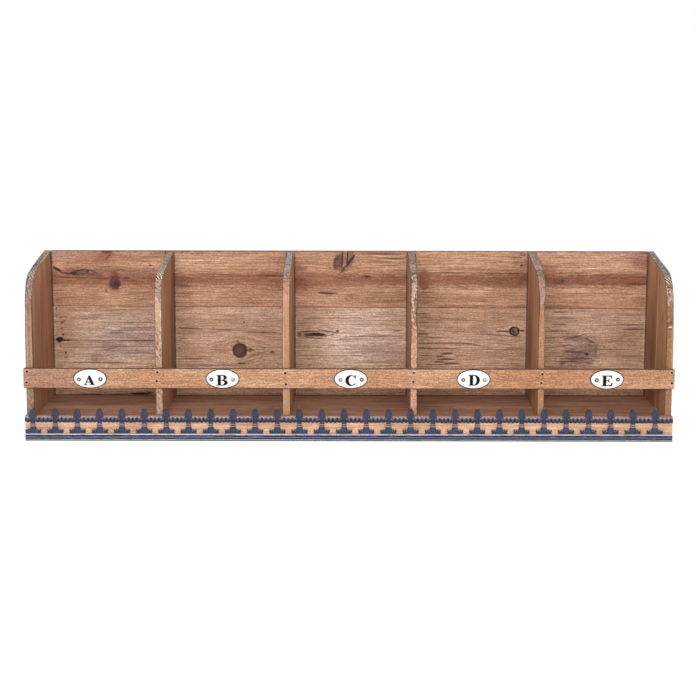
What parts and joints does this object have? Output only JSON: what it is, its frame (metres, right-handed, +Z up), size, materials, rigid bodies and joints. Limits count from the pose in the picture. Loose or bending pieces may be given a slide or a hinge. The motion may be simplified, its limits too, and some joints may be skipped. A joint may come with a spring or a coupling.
{
  "type": "wall organizer",
  "caption": "Long wooden wall organizer: a row of equal open compartments with rounded dividers, a front rail with oval letter plates and a cast fleur-de-lis strip along the lip.",
  "frame": {"origin": "centre of the bounding box in X and Y, on the underside, where the ends, the lip and the back rest on a bench", "axes": "+X along the row of compartments to the right as seen from the front, +Y from the front to the wall, +Z up"},
  "size_m": [0.9, 0.1582, 0.245],
  "materials": {
    "old_wood": "bare, worn and waxed softwood with knots",
    "dark_cast_metal": "dark blue-grey patinated casting",
    "white_enamel": "glossy vitreous enamel on pressed steel, black rim",
    "dull_steel": "dulled round-head pins",
    "nail_iron": "dark iron nails",
    "plated_steel": "zinc-plated sheet"
  },
  "bodies": {
    "root": {"left_end": "old_wood", "right_end": "old_wood", "divider_1": "old_wood", "divider_2": "old_wood", "divider_3": "old_wood", "divider_4": "old_wood", "floor_board": "old_wood", "back_plank_lower": "old_wood", "back_plank_upper": "old_wood", "front_rail": "old_wood", "front_lip": "old_wood", "fleur_trim": "dark_cast_metal", "label_plate_1": "white_enamel", "label_plate_2": "white_enamel", "label_plate_3": "white_enamel", "label_plate_4": "white_enamel", "label_plate_5": "white_enamel", "label_pins": "dull_steel", "rail_nails": "nail_iron", "lip_nails": "nail_iron", "end_nails": "nail_iron", "floor_nails": "nail_iron", "back_nails": "nail_iron", "hanger_tacks": "nail_iron", "trim_nails": "dark_cast_metal", "hanger_plate_left": "plated_steel", "hanger_plate_right": "plated_steel"}
  },
  "joints": []
}
